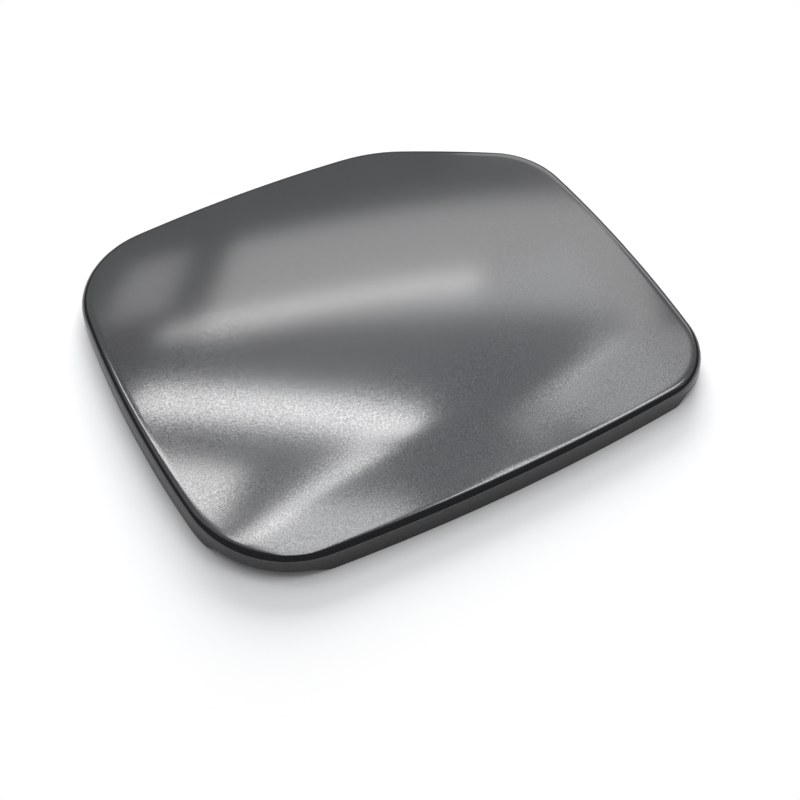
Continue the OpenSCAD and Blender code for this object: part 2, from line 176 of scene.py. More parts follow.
# The crease: how far in from the front, its dip on the left and its softness
CREASE_IN, CREASE_DIP, CREASE_SOFT = 29, 14, 2
# Slope in front of it, its share at mid length and what fades to the right
CREASE_SLOPE, SLOPE_MID, SLOPE_FADE = 0.043, 0.65, 0.3
TWIST = 0.2
WARP_XXX, WARP_XXY, WARP_XYY, WARP_YYY = -0.4, 0.2, 0.6, -0.6
EXP_LIMIT = 60


def face_height(x, y):
    u, v = x / HALF[0], y / HALF[1]
    crease = CREASE_IN - HALF[1] - CREASE_DIP * max(0, -u) ** 2
    before = min(EXP_LIMIT, (crease - y) / CREASE_SOFT)
    ramp = CREASE_SOFT * math.log1p(math.exp(before))
    fall = CREASE_SLOPE * ramp * (SLOPE_MID - SLOPE_FADE * u)
    crown = CROWN_X * u * u + CROWN_Y * v * v
    warp = (TWIST * u * v + WARP_XXX * u ** 3 + WARP_XXY * u * u * v
            + WARP_XYY * u * v * v + WARP_YYY * v ** 3)
    return TOP - crown - fall + warp


print("face height at the corners of its box:",
      [round(face_height(x, y), 2) for x in (-95, 95) for y in (-78, 78)])

# %% [markdown]
# ## Growing a shell ring by ring
# A pressed sheet is a surface that is swept from ring to ring: over the face,
# round the bend, down the skirt and back up inside. In Blender that is one
# loop of edges, extruded again and again. Each extrusion copies the selected
# loop, and the copy is then put where the next ring belongs. A number kept on
# every vertex says which spoke it came from.

# %% One loop, extruded ring by ring
def select_none():
    if bpy.context.object and bpy.context.object.mode != "OBJECT":
        bpy.ops.object.mode_set(mode="OBJECT")
    bpy.ops.object.select_all(action="DESELECT")


def select_only(piece):
    select_none()
    bpy.context.view_layer.objects.active = piece
    piece.select_set(True)


def move_loop(piece, ring):
    mesh = bmesh.from_edit_mesh(piece.data)
    number = mesh.verts.layers.int["spoke"]
    for vertex in mesh.verts:
        if vertex.select:
            vertex.co = Vector(ring[vertex[number]]) * MM
    bmesh.update_edit_mesh(piece.data)


def grow_shell(name, rings):
    select_none()
    bpy.ops.mesh.primitive_circle_add(vertices=len(rings[0]), fill_type="NOTHING")
    piece = bpy.context.object
    piece.name = piece.data.name = name
    layer = piece.data.attributes.new("spoke", "INT", "POINT")
    layer.data.foreach_set("value", range(len(rings[0])))
    bpy.ops.object.mode_set(mode="EDIT")
    bpy.ops.mesh.select_all(action="SELECT")
    move_loop(piece, rings[0])
    for ring in rings[1:]:
        bpy.ops.mesh.extrude_region_move()
        move_loop(piece, ring)
    return piece


# %% [markdown]
# The first and the last ring are pulled together to one point each, so the
# shell is closed. Its faces are then turned outwards, and shading is smooth
# everywhere except across edges sharper than a given angle.

# %% Close and smooth a shell
def close_and_smooth(piece, sharp=40):
    bpy.ops.mesh.extrude_region_move()
    bpy.ops.mesh.merge(type="CENTER")
    mesh = bmesh.from_edit_mesh(piece.data)
    bpy.ops.mesh.select_all(action="DESELECT")
    for vertex in mesh.verts:
        vertex.select = vertex.is_boundary
    mesh.select_flush(True)
    bmesh.update_edit_mesh(piece.data)
    bpy.ops.mesh.extrude_region_move()
    bpy.ops.mesh.merge(type="CENTER")
    bpy.ops.mesh.select_all(action="SELECT")
    bpy.ops.mesh.normals_make_consistent(inside=False)
    bpy.ops.object.mode_set(mode="OBJECT")
    bpy.ops.object.shade_smooth_by_angle(angle=math.radians(sharp))
    print(piece.name, len(piece.data.polygons), "faces")


# %% [markdown]
# ## The outer skin
# Sheet steel 0.8 mm thick. From the middle the rings go out over the face,
# round an edge of 3.2 mm radius and down the skirt. They turn back at the
# skirt's lower edge, go up inside it and return under the face.

# %% Tie a finished piece to its solid
dressed = []


def stands_for(piece, node, slot):
    """The piece is seen instead of that solid, and gets the slot's finish later."""
    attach(piece, "root")
    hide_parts(node)
    dressed.append((piece, slot))


# %% Rings of the outer skin
SKIN_T, EDGE_R, FLARE = 0.8, 3.2, 0.6
QUARTER = math.pi / 2


def inside(spoke, inset):
    return spoke.centre + (spoke.radius - inset) * heading(spoke.angle)


def edge_ring(turn, r):
    ring = []
    for spoke in SPOKES:
        x, y = inside(spoke, FLARE + EDGE_R - r * math.sin(turn))
        ring.append((x, y, face_height(x, y) - EDGE_R + r * math.cos(turn)))
    return ring


def face_ring(share, drop):
    ring = []
    for spoke in SPOKES:
        x, y = share * inside(spoke, FLARE + EDGE_R)
        ring.append((x, y, face_height(x, y) - drop))
    return ring


def skirt_ring(inset):
    return [(*inside(spoke, inset), spoke.cut) for spoke in SPOKES]


def blend_rings(a, b, share):
    return [tuple(np.array(p) * (1 - share) + np.array(q) * share)
            for p, q in zip(a, b)]


# %% Grow the skin, finer on the face than behind it
FACE_RINGS, EDGE_RINGS = 64, 12
BACK_RINGS, BACK_EDGE_RINGS = 16, 6
SKIRT_SHARES = (0.3, 0.6, 0.85, 1)
rings = [face_ring((i + 1) / FACE_RINGS, 0) for i in range(FACE_RINGS)]
rings += [edge_ring(QUARTER * (i + 1) / EDGE_RINGS, EDGE_R) for i in range(EDGE_RINGS)]
rings += [blend_rings(rings[-1], skirt_ring(0), share) for share in SKIRT_SHARES]
rings += [skirt_ring(SKIN_T)]
rings += [edge_ring(QUARTER * i / BACK_EDGE_RINGS, EDGE_R - SKIN_T)
          for i in range(BACK_EDGE_RINGS, -1, -1)]
rings += [face_ring(i / BACK_RINGS, SKIN_T) for i in range(BACK_RINGS - 1, 0, -1)]
skin = grow_shell("painted_skin", rings)
close_and_smooth(skin)
stands_for(skin, "outer_skin", "skin_primer")

# %% [markdown]
# ## The inner panel
# A second sheet, 0.7 mm thick, closes the door from behind. Its flange stands
# just inside the skirt, and its web is stamped with a raised field, two
# pads, two beads and lipped holes. A stamped sheet is one skin that goes up
# and down, so the panel is grown almost flat, and then both of its faces are
# pressed up and down together by a height formula.

# %% Flange and bend of the panel
PANEL_T, WEB_Z, GAP, BEND_R = 0.7, 5.0, 0.15, 1.8
WEB_TOP = WEB_Z + PANEL_T
FLANGE_FOOT = 1.2


def wall_inset(spoke, z):
    """Inset of the skirt's inner wall at height z."""
    x, y = inside(spoke, FLARE + EDGE_R)
    return SKIN_T + FLARE * max(0, z) / (face_height(x, y) - EDGE_R)


def flange_ring(inset):
    ring = []
    for spoke in SPOKES:
        z = FLANGE_FOOT + spoke.cut
        ring.append((*inside(spoke, GAP + wall_inset(spoke, z) + inset), z))
    return ring


def bend_ring(turn, r):
    base = WEB_TOP - BEND_R
    ring = []
    for spoke in SPOKES:
        inset = GAP + wall_inset(spoke, base) + BEND_R - r * math.sin(turn)
        ring.append((*inside(spoke, inset), base + r * math.cos(turn)))
    return ring


# %% Rings of the unpressed panel
# The raised field ends at a share of the way out, after a short slope
FIELD_SHARE, FIELD_SLOPE, FIELD_RISE = 0.56, 0.024, 1.2
FIRST_RING, FIELD_STEP, FIELD_RINGS = 0.022, 0.0212, 24
SLOPE_STEP, SLOPE_RINGS, WEB_RINGS = 0.004, 7, 24


def field_ring(share, z):
    """A ring of the raised field; its slope ends at FIELD_SHARE."""
    raised = FIELD_RISE * (1 - smooth((share - FIELD_SHARE) / FIELD_SLOPE + 1))
    return [(*(share * inside(spoke, 0)), z + raised) for spoke in SPOKES]


def web_rings(z):
    """From the middle of the panel out to its bend."""
    found = [field_ring(FIRST_RING + FIELD_STEP * i, z) for i in range(FIELD_RINGS)]
    found += [field_ring(FIELD_SHARE - FIELD_SLOPE + SLOPE_STEP * i, z)
              for i in range(SLOPE_RINGS)]
    bend = [(x, y, z) for x, y, _ in bend_ring(0, BEND_R)]
    return found + [blend_rings(found[-1], bend, i / WEB_RINGS)
                    for i in range(1, WEB_RINGS)]


# %% Grow the panel
OUTER_BEND, INNER_BEND = 8, 5
rings = web_rings(WEB_TOP)
rings += [bend_ring(QUARTER * i / OUTER_BEND, BEND_R) for i in range(OUTER_BEND + 1)]
rings += [flange_ring(0), flange_ring(PANEL_T)]
rings += [bend_ring(QUARTER * i / INNER_BEND, BEND_R - PANEL_T)
          for i in range(INNER_BEND, -1, -1)]
rings += reversed(web_rings(WEB_Z))
panel = grow_shell("inner_sheet", rings)
close_and_smooth(panel)

# %% [markdown]
# The pressed forms are narrow, so the mesh is made finer only where they
# are: faces of the web near the wall of a pad, a bead or a lipped hole are
# selected by their place and subdivided.

# %% Where the press makes its forms
def from_line(x, y, line):
    """Distance of a point from a line between two end points."""
    (ax, ay), (bx, by) = line
    dx, dy = bx - ax, by - ay
    along = ((x - ax) * dx + (y - ay) * dy) / max(1e-9, dx * dx + dy * dy)
    along = min(1, max(0, along))
    return math.hypot(x - ax - along * dx, y - ay - along * dy)


HINGE, STRIKER = (-70.0, 0.0), (76.0, -11.71)
BOLTS = [(HINGE[0], y) for y in (-20.0, 20.0)]
RIVETS = [(STRIKER[0], STRIKER[1] + y) for y in (-14.0, 14.0)]
LIGHTENING = [(x, 0.0) for x in (-34.0, 0.0, 34.0)]
BEADS = [[(-36, y), (36, y)] for y in (-23.2, 23.2)]
PAD_DEPTH = 2.8
# Line, flat half width, width of the wall and change of height
FORMS = [(BOLTS, 10.4, 2.3, -PAD_DEPTH), (RIVETS, 8.9, 2.3, -PAD_DEPTH)]
FORMS += [(bead, 1.6, 2.4, 1.2) for bead in BEADS]
FORMS += [([hole, hole], 9.3, 1.5, -1.6) for hole in LIGHTENING]


def press(x, y):
    return sum(step * (1 - smooth((from_line(x, y, line) - flat) / wall))
               for line, flat, wall, step in FORMS)


# %% Make the web finer near their walls
MARGIN = 1.5
WEB_FLOOR = WEB_Z - 0.01


def near_wall(x, y):
    return any(-MARGIN < from_line(x, y, line) - flat < wall + MARGIN
               for line, flat, wall, _ in FORMS)


select_only(panel)
bpy.ops.object.mode_set(mode="EDIT")
bpy.ops.mesh.select_all(action="DESELECT")
mesh = bmesh.from_edit_mesh(panel.data)
for face in mesh.faces:
    x, y, z = face.calc_center_median() / MM
    face.select = z > WEB_FLOOR and near_wall(x, y)
bmesh.update_edit_mesh(panel.data)
bpy.ops.mesh.subdivide(number_cuts=2)
bpy.ops.object.mode_set(mode="OBJECT")
print("panel after subdividing:", len(panel.data.polygons), "faces")

# %% Press the forms into both faces of the sheet
for vertex in panel.data.vertices:
    x, y, z = vertex.co / MM
    if z > WEB_FLOOR:
        vertex.co.z += press(x, y) * MM
web_reach = 0.85 * HALF[0]
lowest = min(v.co.z for v in panel.data.vertices if abs(v.co.x) / MM < web_reach) / MM
print("pressed to", round(lowest, 2), "mm")

# %% [markdown]
# ## Punched holes
# All punches are cylinders in one object, taken out of the panel by one
# Boolean modifier. That is quicker than one modifier for each hole. A
# cylinder with its two halves moved apart cuts a slot; it has 50 sides, so
# that no corner lies on the line where it parts and its flanks stay straight.

# %% Bars, round or drawn out
BAR_SIDES = 50


def bar(x, y, low, high, radius, stretch=0.0):
    """An upright cylinder, or with a stretch a round-ended bar along Y."""
    select_none()
    bpy.ops.mesh.primitive_cylinder_add(
        vertices=BAR_SIDES, radius=radius * MM, depth=(high - low) * MM)
    made = bpy.context.object
    if stretch:
        bpy.ops.object.mode_set(mode="EDIT")
        for side in (-1, 1):
            mesh = bmesh.from_edit_mesh(made.data)
            for vertex in mesh.verts:
                vertex.select = vertex.co.y * side > 0
            mesh.select_flush(True)
            bmesh.update_edit_mesh(made.data)
            bpy.ops.transform.translate(value=(0, side * stretch / 2 * MM, 0))
            bpy.ops.mesh.select_all(action="DESELECT")
        bpy.ops.object.mode_set(mode="OBJECT")
    made.location = (x * MM, y * MM, (low + high) / 2 * MM)
    bpy.ops.object.transform_apply(location=True)
    return made


# %% Take punches out of a sheet
PUNCH_LOW, PUNCH_HIGH = -5, 20


def punch(place, radius, stretch=0.0):
    """A bar that is long enough to go through any sheet."""
    return bar(*place, PUNCH_LOW, PUNCH_HIGH, radius, stretch)


def punch_out(piece, punches):
    """Cuts a list of bars out of a piece and removes them."""
    select_only(punches[0])
    for each in punches:
        each.select_set(True)
    bpy.ops.object.join()
    tool = bpy.context.object
    select_only(piece)
    cut = piece.modifiers.new("punch", "BOOLEAN")
    cut.operation, cut.solver, cut.object = "DIFFERENCE", "EXACT", tool
    bpy.ops.object.modifier_apply(modifier=cut.name)
    bpy.data.objects.remove(tool)
    print(piece.name, "punched:", len(piece.data.polygons), "faces")


# %% Punch the panel
STOPS = [(74.66, -57.59), (69.45, 34.18)]
DRAINS = [(29.46, 59.87), (-69.77, 54.96), (-65.55, -52.32)]
# Radii of the holes
LIGHT_HOLE, BOLT_HOLE, DOWEL_HOLE, RIVET_HOLE = 9.0, 3.0, 4.0, 2.05
STOP_HOLE, DRAIN_HOLE = 3.1, 3.0
# Radii of the latch's window and slot, and the straight length of both
WINDOW_R, SLOT_R, SLOT_LENGTH = 5.5, 3.5, 6.0
holes = [(p, LIGHT_HOLE) for p in LIGHTENING] + [(p, BOLT_HOLE) for p in BOLTS]
holes += [(HINGE, DOWEL_HOLE)] + [(p, RIVET_HOLE) for p in RIVETS]
holes += [(p, STOP_HOLE) for p in STOPS] + [(p, DRAIN_HOLE) for p in DRAINS]
punches = [punch(*hole) for hole in holes] + [punch(STRIKER, WINDOW_R, SLOT_LENGTH)]
punch_out(panel, punches)
bpy.ops.object.shade_smooth_by_angle(angle=math.radians(72))
stands_for(panel, "inner_panel", "panel_primer")

# %% [markdown]
# ## Hinge plate and striker plate
# Two steel plates lie in the pressed pads. Each is a round-ended bar with its
# holes punched out, and a small bevel breaks the cut edges so that they catch
# the light.

# %% Two plates with broken edges
PAD_TOP = WEB_TOP - PAD_DEPTH
HINGE_PLATE_T, HINGE_PLATE_R, COLLAR_HOLE = 1.2, 9.5, 3.6
STRIKER_T, STRIKER_R = 1.5, 8.0
BROKEN_EDGE = 0.12


def plate(name, line, radius, thick, punches, node):
    (x, ya), (_, yb) = line
    made = bar(x, (ya + yb) / 2, PAD_TOP, PAD_TOP + thick, radius, yb - ya)
    made.name = made.data.name = name
    punch_out(made, punches)
    edges = made.modifiers.new("edges", "BEVEL")
    edges.width, edges.segments = BROKEN_EDGE * MM, 2
    edges.angle_limit = math.radians(50)
    bpy.ops.object.modifier_apply(modifier=edges.name)
    bpy.ops.object.shade_smooth_by_angle(angle=math.radians(35))
    stands_for(made, node, "plate_steel")


holes = [punch(p, COLLAR_HOLE) for p in BOLTS] + [punch(HINGE, DOWEL_HOLE)]
plate("hinge_reinforcement", BOLTS, HINGE_PLATE_R, HINGE_PLATE_T, holes, "hinge_plate")
holes = [punch(p, RIVET_HOLE) for p in RIVETS] + [punch(STRIKER, SLOT_R, SLOT_LENGTH)]
plate("latch_striker", RIVETS, STRIKER_R, STRIKER_T, holes, "striker_plate")

# %% [markdown]
# ## Weld nuts
# An M5 weld nut is a chamfered hexagon on a round collar, with a thread cut
# through it. It can be grown ring by ring as well: the rings climb inside,
# where a wave that turns with the angle makes the thread, cross the top and
# come down outside. The last ring lands on the first and is merged with it.

# %% Radii of a nut
NUT_H, COLLAR_H, FLAT_R = 3.6, 0.7, 4.0
CORNER_R = FLAT_R / math.cos(math.pi / 6)
THREAD_R, THREAD_DEPTH, PITCH, LEAD_IN = 2.5, 0.4, 0.8, 0.6
RING_POINTS = 72


def thread_radius(angle, z):
    depth = THREAD_DEPTH * smooth(min(z + COLLAR_H, NUT_H - z) / LEAD_IN)
    wave = abs((z / PITCH - angle / math.tau) % 1 - 0.5) * 2
    return THREAD_R - depth * (1 - wave)


def hexagon_radius(angle, z):
    side = FLAT_R / math.cos(angle % (math.pi / 3) - math.pi / 6)
    return min(side, CORNER_R - max(0, z - NUT_H + CORNER_R - FLAT_R))


def round_ring(place, z, radius):
    """A ring about a place; radius is a number or a rule for each angle."""
    ring = []
    for i in range(RING_POINTS):
        angle = math.tau * i / RING_POINTS
        r = radius(angle) if callable(radius) else radius
        ring.append((place[0] + r * math.cos(angle), place[1] + r * math.sin(angle), z))
    return ring


# %% Grow one nut
THREAD_STEP, THREAD_RINGS = 0.1, 44
CHAMFER_STEP, CHAMFER_RINGS = 0.0775, 9
COLLAR_R, COLLAR_EDGE = 3.5, 0.1


def nut(name, place, base):
    def bore(z):
        return round_ring(place, base + z, lambda angle: thread_radius(angle, z))

    def flank(z):
        return round_ring(place, base + z, lambda angle: hexagon_radius(angle, z))

    found = [bore(-COLLAR_H + THREAD_STEP * i) for i in range(THREAD_RINGS)]
    found += [flank(NUT_H - CHAMFER_STEP * i) for i in range(CHAMFER_RINGS)]
    found += [flank(0.0)]
    found += [round_ring(place, base + z, COLLAR_R) for z in (0, COLLAR_EDGE - COLLAR_H)]
    found += [round_ring(place, base - COLLAR_H, COLLAR_R - COLLAR_EDGE)]
    found += [bore(-COLLAR_H)]
    made = grow_shell(name, found)
    bpy.ops.mesh.select_all(action="SELECT")
    bpy.ops.mesh.remove_doubles(threshold=0.001 * MM)
    bpy.ops.mesh.normals_make_consistent(inside=False)
    bpy.ops.object.mode_set(mode="OBJECT")
    bpy.ops.object.shade_smooth_by_angle(angle=math.radians(32))
    print(name, len(made.data.polygons), "faces")
    return made


# %% The second of a pair is a copy
def copy_to(piece, name, pair):
    """A copy with a mesh of its own, moved from a pair's first place to its second."""
    select_only(piece)
    bpy.ops.object.duplicate()
    made = bpy.context.object
    made.name = made.data.name = name
    (xa, ya), (xb, yb) = pair
    made.location = Vector((xb - xa, yb - ya, 0)) * MM
    bpy.ops.object.transform_apply(location=True)
    return made


nut_front = nut("hinge_nut_front", BOLTS[0], PAD_TOP + HINGE_PLATE_T)
nut_rear = copy_to(nut_front, "hinge_nut_rear", BOLTS)
stands_for(nut_front, "weld_nut_front", "zinc_plate")
stands_for(nut_rear, "weld_nut_rear", "zinc_plate")

# %% [markdown]
# ## Rivets and bump stops
# These are turned shapes: each profile is a list of radii and heights, and
# every pair of them is one round ring.

# %% Turn a profile into rivets
HEAD_R, HEAD_RISE, SHANK_R, DOME_RINGS = 3.5, 1.3, 2.0, 8


def turned(name, place, profile):
    made = grow_shell(name, [round_ring(place, z, r) for r, z in profile])
    close_and_smooth(made, 35)
    return made


def dome(z, rise):
    """Half a profile of a rivet's head, from near its top to its rim."""
    cap = (HEAD_R ** 2 + rise ** 2) / (2 * abs(rise))
    sign = math.copysign(1, rise)
    sweep = math.asin(HEAD_R / cap)
    turns = [sweep * i / DOME_RINGS for i in range(1, DOME_RINGS + 1)]
    return [(cap * math.sin(turn), z + rise - sign * cap * (1 - math.cos(turn)))
            for turn in turns]


low, high = PAD_TOP - PANEL_T, PAD_TOP + STRIKER_T
seat_r = HEAD_R - 0.1
shank = [(seat_r, low), (SHANK_R, low), (SHANK_R, high), (seat_r, high)]
profile = dome(low, -HEAD_RISE) + shank + dome(high, HEAD_RISE)[::-1]
rivet = turned("rivet_front", RIVETS[0], profile)
rivet_rear = copy_to(rivet, "rivet_rear", RIVETS)
stands_for(rivet, "striker_rivet_front", "zinc_plate")
stands_for(rivet_rear, "striker_rivet_rear", "zinc_plate")

# %% Rubber bump stops
pad = [(0.6, 1.0), (1.6, 1.0), (1.9, 0.8), (4.1, 0.8),
       (4.7, 0.9), (5.15, 1.2), (5.4, 1.6), (5.5, 2.1)]
groove = [(5.5, 3.1), (5.25, 3.3), (5.25, 3.7), (5.5, 3.9), (5.5, 4.7), (5.3, 5.0)]
barb = [(3.0, 5.0), (3.0, 5.7), (3.9, 5.7), (3.9, 6.4),
        (3.6, 6.9), (2.6, 7.9), (1.5, 8.6), (0.8, 8.7)]
stop_front = turned("door_stop_front", STOPS[0], pad + groove + barb)
stop_rear = copy_to(stop_front, "door_stop_rear", STOPS)
stands_for(stop_front, "bump_stop_front", "stop_rubber")
stands_for(stop_rear, "bump_stop_rear", "stop_rubber")

# %% [markdown]
# ## Dabs of sealer
# Six dabs of expandable sealer bridge the gap between panel and skin. Foam
# never sets round and even, so each dab's outline is a circle with a few slow
# waves, and the waves start at another angle for every dab.

# %% Six uneven dabs
DAB_GAP = 0.1
# Radius of each ring and its share of the way from the panel up to the roof
DAB_RINGS = [(2.0, 1), (4.4, 1), (5.1, 0.96), (5.3, 0.85), (5.4, 0.6),
             (5.7, 0.35), (6.3, 0.16), (6.7, 0.05), (6.6, 0), (3.0, 0)]


def dab(number, place):
    def radius(size):
        def rule(angle):
            slow = 0.36 * math.sin(2 * angle + number)
            slow += 0.24 * math.sin(3 * angle + 2.1 * number)
            return size + slow + 0.15 * math.sin(7 * angle - number)
        return rule

    def ring(size, share):
        found = []
        for x, y, _ in round_ring(place, 0, radius(size)):
            roof = face_height(x, y) - SKIN_T - DAB_GAP
            found.append((x, y, WEB_TOP + share * (roof - WEB_TOP)))
        return found

    made = grow_shell("sealer_dab_%d" % number, [ring(*pair) for pair in DAB_RINGS])
    close_and_smooth(made, 60)
    stands_for(made, "sealer_pad_%d" % number, "sealer")


DABS = [(-37.7, -62.9), (4.2, -64.4), (46.1, -63.0),
        (51.3, 48.8), (3.0, 63.7), (-38.5, 64.0)]
for i, place in enumerate(DABS):
    dab(i + 1, place)

# %% [markdown]
# ## Writing materials as sums
# A material's nodes are easier to read as arithmetic. This small class holds
# one output of a node, and adding or multiplying two of them places the Math
# node that does it. Any other node comes from `node`, which takes its type,
# its settings and what goes into its sockets.

# %% A class for shader maths
class Signal:
    def __init__(self, tree, output=None):
        self.tree, self.output = tree, output

    def node(self, kind, settings=None, inputs=None, output=0):
        made = self.tree.nodes.new(kind)
        for key, value in (settings or {}).items():
            setattr(made, key, value)
        for key, value in (inputs or {}).items():
            if isinstance(value, Signal):
                self.tree.links.new(value.output, made.inputs[key])
            else:
                made.inputs[key].default_value = value
        return Signal(self.tree, made.outputs[output] if made.outputs else None)

    def math(self, operation, a, b):
        return self.node("ShaderNodeMath", {"operation": operation}, {0: a, 1: b})

    def __add__(self, other):
        return self.math("ADD", self, other)

    def __mul__(self, other):
        return self.math("MULTIPLY", self, other)

    def __sub__(self, other):
        return self.math("SUBTRACT", self, other)

    def __rsub__(self, other):
        return self.math("SUBTRACT", other, self)

    __radd__, __rmul__ = __add__, __mul__


# %% Start and finish a material
def new_material(name):
    material = bpy.data.materials.new(name)
    material.use_nodes = True
    material.node_tree.nodes.clear()
    nodes = Signal(material.node_tree)
    place = nodes.node("ShaderNodeTexCoord", output="Object")
    return material, nodes, place


def end_material(material, nodes, shader):
    nodes.node("ShaderNodeOutputMaterial", inputs={"Surface": shader})
    print("material", material.name)
    return material


# %% Nodes that several finishes use
def noise(nodes, place, scale, detail):
    return nodes.node(
        "ShaderNodeTexNoise", inputs={"Vector": place, "Scale": scale, "Detail": detail})


def between(nodes, share, low, high):
    """A colour between two; sockets 6, 7 and output 2 are a Mix node's colours."""
    return nodes.node(
        "ShaderNodeMix", {"data_type": "RGBA"},
        {"Factor": share, 6: (*low, 1), 7: (*high, 1)}, output=2)


def bump(nodes, height, distance, strength):
    return nodes.node("ShaderNodeBump", inputs={
        "Height": height, "Distance": distance, "Strength": strength})


def principled(nodes, **sockets):
    """A Principled shader; an underline in a name stands for a space."""
    inputs = {name.replace("_", " "): value for name, value in sockets.items()}
    return nodes.node("ShaderNodeBsdfPrincipled", inputs=inputs)


def vector_maths(nodes, operation, a, b, output="Vector"):
    return nodes.node("ShaderNodeVectorMath", {"operation": operation},
                      {0: a, 1: b}, output=output)


def soft_range(nodes, value, span, ends=(0.0, 1.0)):
    """Eases from the first end to the second while the value crosses the span."""
    return nodes.node("ShaderNodeMapRange", {"interpolation_type": "SMOOTHSTEP"}, {
        "Value": value, "From Min": span[0], "From Max": span[1],
        "To Min": ends[0], "To Max": ends[1]})


# %% [markdown]
# ## Satin black primer
# The skin is dip-primed in black and has no gloss coat, so its face mirrors
# soft shapes only. The primer dried as fine grains, and each mirrors a little
# more or less than the next. A grain of that kind isn't a colour and isn't a
# roughness: it is a mix of two satin blacks, a shiny and a dull one, with noise
# of about half a millimetre as the factor. It is strong along the front left,
# where the spray went on dry, and faint further in. The same noise feeds a
# weak bump.

# %% The skin's primer
BLACK_LOW, BLACK_HIGH = (0.0045, 0.0048, 0.0054), (0.0070, 0.0073, 0.0080)
DULL_IOR, SHINY_IOR = 1.5, 2.1
CLOUD_SCALE, PEEL_SCALE, PEEL_DEPTH, PEEL_STRENGTH = 35.0, 2100.0, 0.000010, 0.42
# From the front left to the back right. Along it, from the first distance in
# metres to the second, the grain falls from its first strength to its second
INWARDS = (0.46, 0.89, 0.0)
DRY_SPAN, GRAIN_ENDS = (-0.035, 0.010), (1.1, 0.3)


def black_primer():
    material, nodes, place = new_material("skin_primer")
    clouds = noise(nodes, place, CLOUD_SCALE, 3.0)
    peel = noise(nodes, place, PEEL_SCALE, 1.0)
    tone = between(nodes, clouds, BLACK_LOW, BLACK_HIGH)
    normal = bump(nodes, peel, PEEL_DEPTH, PEEL_STRENGTH)
    roughness = 0.10 + 0.02 * clouds
    dull, shiny = (
        principled(nodes, Base_Color=tone, Roughness=roughness, IOR=ior, Normal=normal)
        for ior in (DULL_IOR, SHINY_IOR)
    )
    away = vector_maths(nodes, "DOT_PRODUCT", place, INWARDS, "Value")
    grain = 0.5 + (peel - 0.5) * soft_range(nodes, away, DRY_SPAN, GRAIN_ENDS)
    mixed = nodes.node("ShaderNodeMixShader", inputs={"Fac": grain, 1: dull, 2: shiny})
    return end_material(material, nodes, mixed)


# %% [markdown]
# ## Finishes behind the door
# These are hidden in the photo's view, yet seen from below: the panel's dip
# primer, phosphated steel plates, zinc nuts and rivets, moulded rubber and
# cured sealer.

# %% Panel primer, steel, zinc, rubber and sealer
def plain_finish(name, low, high, scale, roughness, metallic, grain, depth):
    material, nodes, place = new_material(name)
    patches = noise(nodes, place, scale, 4.0)
    tone = between(nodes, patches, low, high)
    normal = bump(nodes, noise(nodes, place, grain, 3.0), depth, 0.5)
    roughness = roughness + 0.12 * patches
    shader = principled(
        nodes, Base_Color=tone, Roughness=roughness, Metallic=metallic, Normal=normal)
    return end_material(material, nodes, shader)


# Two tones, scale of the patches, roughness, metallic, scale and depth of the grain
PLAIN = {
    "panel_primer": ((0.010, 0.010, 0.011), (0.018, 0.018, 0.019),
                     60, 0.34, 0.0, 900, 0.00005),
    "plate_steel": ((0.20, 0.205, 0.215), (0.30, 0.31, 0.32),
                    250, 0.42, 1.0, 2500, 0.00003),
    "zinc_plate": ((0.55, 0.52, 0.40), (0.68, 0.66, 0.58),
                   300, 0.28, 1.0, 1500, 0.00003),
    "stop_rubber": ((0.012, 0.012, 0.012), (0.024, 0.023, 0.022),
                    200, 0.6, 0.0, 1800, 0.00006),
    "sealer": ((0.34, 0.30, 0.21), (0.50, 0.46, 0.35),
               220, 0.7, 0.0, 700, 0.0003),
}

# %% Give each piece the finish of its slot
finishes = {name: plain_finish(name, *values) for name, values in PLAIN.items()}
finishes["skin_primer"] = black_primer()
for piece, slot in dressed:
    piece.data.materials.clear()
    piece.data.materials.append(finishes[slot])
print(len(dressed), "pieces have their finish")

# %% [markdown]
# ## Camera
# The photo is taken from the front and left of the door, looking down at
# about 57 degrees through a 50 mm lens. The place was found by matching the
# outline's edge in the photo with the door's real size.

# %% Camera at the photo's angle
def aim(thing, target):
    ray = Vector(target) - thing.location
    thing.rotation_euler = ray.to_track_quat("-Z", "Y").to_euler()


camera = bpy.data.objects.new("camera", bpy.data.cameras.new("camera"))
bpy.context.scene.collection.objects.link(camera)
camera.data.lens = 50
camera.data.sensor_width = 36
camera.data.clip_start = 0.01
camera.location = (-0.1088, -0.2267, 0.3350)
aim(camera, (-0.00856, -0.03104, 0))
bpy.context.scene.camera = camera
print("camera at", [round(v, 3) for v in camera.location])

# %% [markdown]
# ## A pale floor that keeps the shadow
# The door lies on a white sweep. The light that the floor throws back is that
# of a plain matt grey. What the camera sees of it is matt with a faint glow
# close to the door, where the soft shadow must stay, and an even white further
# off. How far off a point is follows from its distance to a rectangle inside
# the door's outline, so that the fade runs round the door with round corners.

# %% What the floor looks like
CORE_HALF = (0.06, 0.04, 0)
FADE_SPAN = (0.05, 0.10)
MATT_GREY, PALE_GREY, GLOW = 0.5, 0.62, 0.06


def for_camera(nodes, others, shown):
    """One shader for what the camera sees, another for all other rays."""
    seen = nodes.node("ShaderNodeLightPath", output="Is Camera Ray")
    return nodes.node("ShaderNodeMixShader", inputs={"Fac": seen, 1: others, 2: shown})


def grey_diffuse(nodes, grey):
    return nodes.node("ShaderNodeBsdfDiffuse", inputs={"Color": (grey, grey, grey, 1)})


def white_glow(nodes, strength):
    return nodes.node("ShaderNodeEmission", inputs={
        "Color": (1, 1, 1, 1), "Strength": strength})


